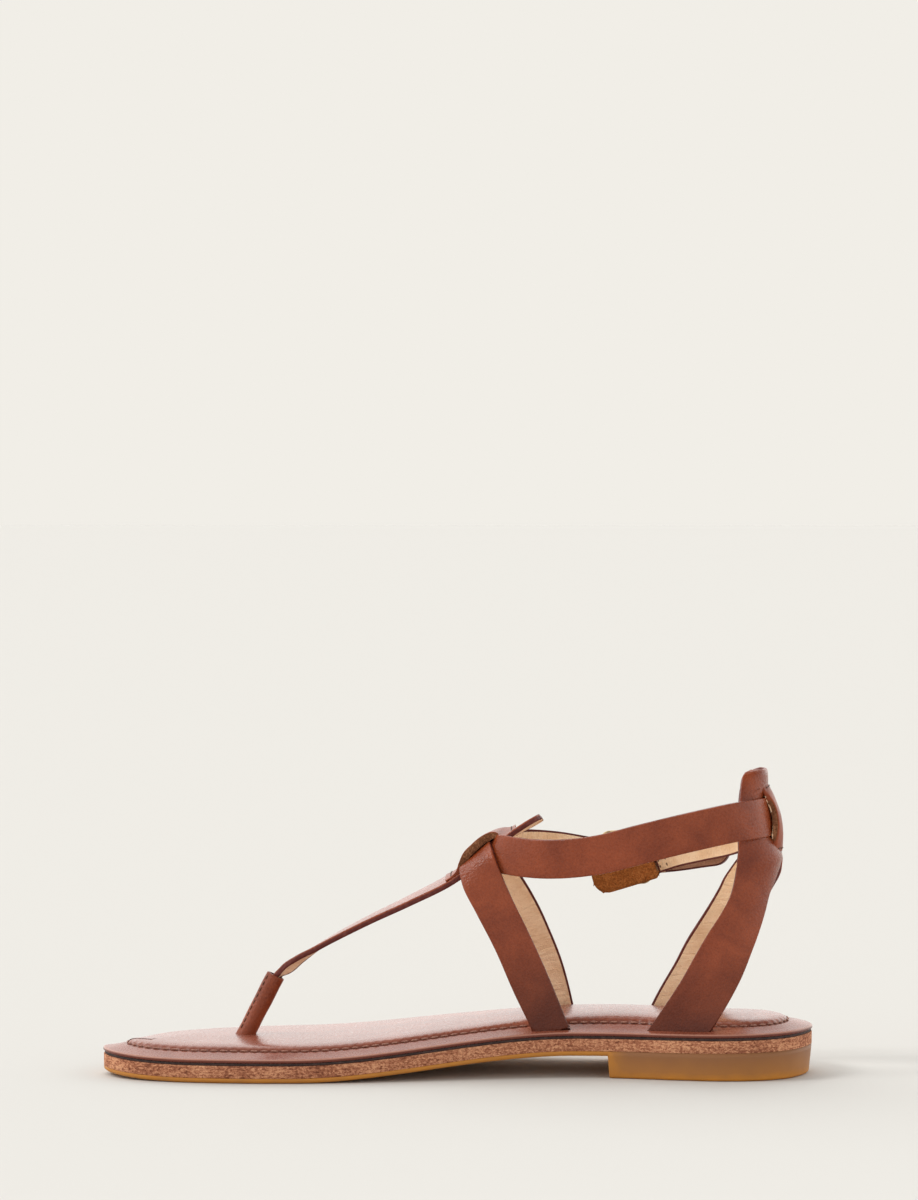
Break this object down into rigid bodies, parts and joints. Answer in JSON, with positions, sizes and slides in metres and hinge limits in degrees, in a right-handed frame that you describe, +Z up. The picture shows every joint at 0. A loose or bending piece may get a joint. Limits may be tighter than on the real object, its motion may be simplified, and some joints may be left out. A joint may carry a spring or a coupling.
{
  "type": "flat t-strap sandal",
  "caption": "Flat leather T-strap sandal for the right foot: toe post, crossed instep straps, looped ankle strap with buckle, heel strap, padded footbed and low heel.",
  "frame": {"origin": "middle of the bounding box, on the floor under the sole", "axes": "+X from toe to heel along the sole, +Y from the medial to the lateral side, +Z up"},
  "size_m": [0.2476, 0.0862, 0.106],
  "materials": {
    "gum_rubber": "honey gum rubber, satin",
    "leatherboard": "mottled bonded fibre, matt",
    "board": "dark cut edge, matt",
    "sock_leather": "smooth red-brown leather with a soft sheen",
    "strap_leather": "smooth red-brown leather, satin",
    "suede": "brown flesh side, napped",
    "aged_brass": "aged brass, satin"
  },
  "bodies": {
    "root": {"outsole": "gum_rubber", "midsole": "leatherboard", "insole_board": "board", "footbed": "sock_leather", "toe_post": "strap_leather", "upper": "strap_leather", "instep_loop": "strap_leather", "heel_loop": "strap_leather", "buckle_frame": "aged_brass", "buckle_prong": "aged_brass", "buckle_pad": "suede"}
  },
  "joints": []
}
